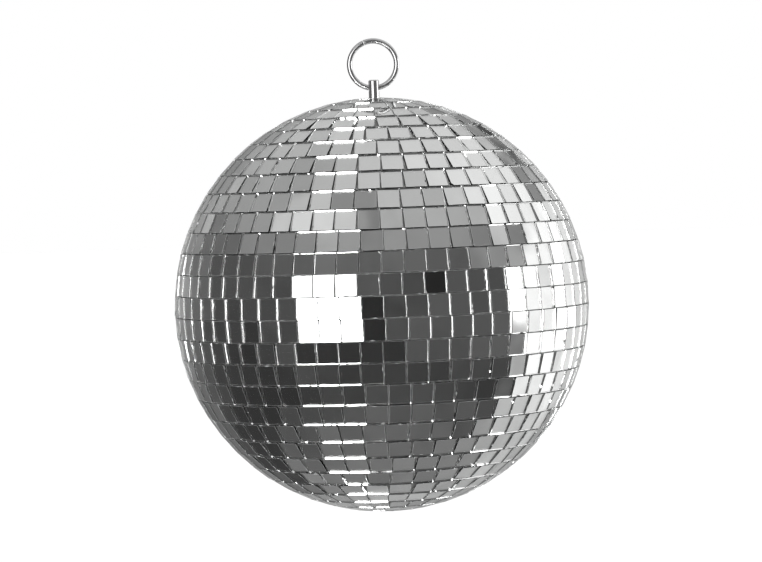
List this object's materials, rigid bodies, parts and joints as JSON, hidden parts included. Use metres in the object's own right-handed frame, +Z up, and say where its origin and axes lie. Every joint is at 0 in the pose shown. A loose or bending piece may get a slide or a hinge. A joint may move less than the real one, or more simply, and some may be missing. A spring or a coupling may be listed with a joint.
{
  "type": "mirror ball",
  "caption": "Hanging mirror ball: a hollow plastic core covered in rows of small square glass mirrors, hung by a pin with a swinging wire ring.",
  "frame": {"origin": "centre of the ball", "axes": "+Z up along the pin to the ring, -Y is the front, and the ring's plane is XZ at rest"},
  "size_m": [0.2001, 0.2001, 0.2283],
  "materials": {
    "mirror_glass": "polished, silvered behind clear glass, cut edges ground by hand",
    "core_plastic": "moulded, matt black, with a film of glue",
    "chrome": "bright nickel-chrome plate",
    "zinc_steel": "bright zinc plate"
  },
  "bodies": {
    "ring": {"hanging_ring": "chrome"},
    "ball": {"hanger_pin": "chrome", "upper_core_shell": "core_plastic", "lower_core_shell": "core_plastic", "backing_plate": "zinc_steel", "flat_washer": "zinc_steel", "spring_washer": "zinc_steel", "hex_nut": "zinc_steel", "mirror_row_01": "mirror_glass", "mirror_row_02": "mirror_glass", "mirror_row_03": "mirror_glass", "mirror_row_04": "mirror_glass", "mirror_row_05": "mirror_glass", "mirror_row_06": "mirror_glass", "mirror_row_07": "mirror_glass", "mirror_row_08": "mirror_glass", "mirror_row_09": "mirror_glass", "mirror_row_10": "mirror_glass", "mirror_row_11": "mirror_glass", "mirror_row_12": "mirror_glass", "mirror_row_13": "mirror_glass", "mirror_row_14": "mirror_glass", "mirror_row_15": "mirror_glass", "mirror_row_16": "mirror_glass", "mirror_row_17": "mirror_glass", "mirror_row_18": "mirror_glass", "mirror_row_19": "mirror_glass", "mirror_row_20": "mirror_glass", "mirror_row_21": "mirror_glass", "mirror_row_22": "mirror_glass", "mirror_row_23": "mirror_glass", "mirror_row_24": "mirror_glass", "mirror_row_25": "mirror_glass", "mirror_row_26": "mirror_glass", "mirror_row_27": "mirror_glass", "mirror_row_28": "mirror_glass", "mirror_row_29": "mirror_glass", "mirror_pole_tile": "mirror_glass"}
  },
  "joints": [
    {"name": "ring_swing", "type": "hinge", "parent": "ring", "child": "ball", "pos_m": [0, 0, 0.1045], "axis": [1, 0, 0], "range_deg": [-95, 95]}
  ]
}
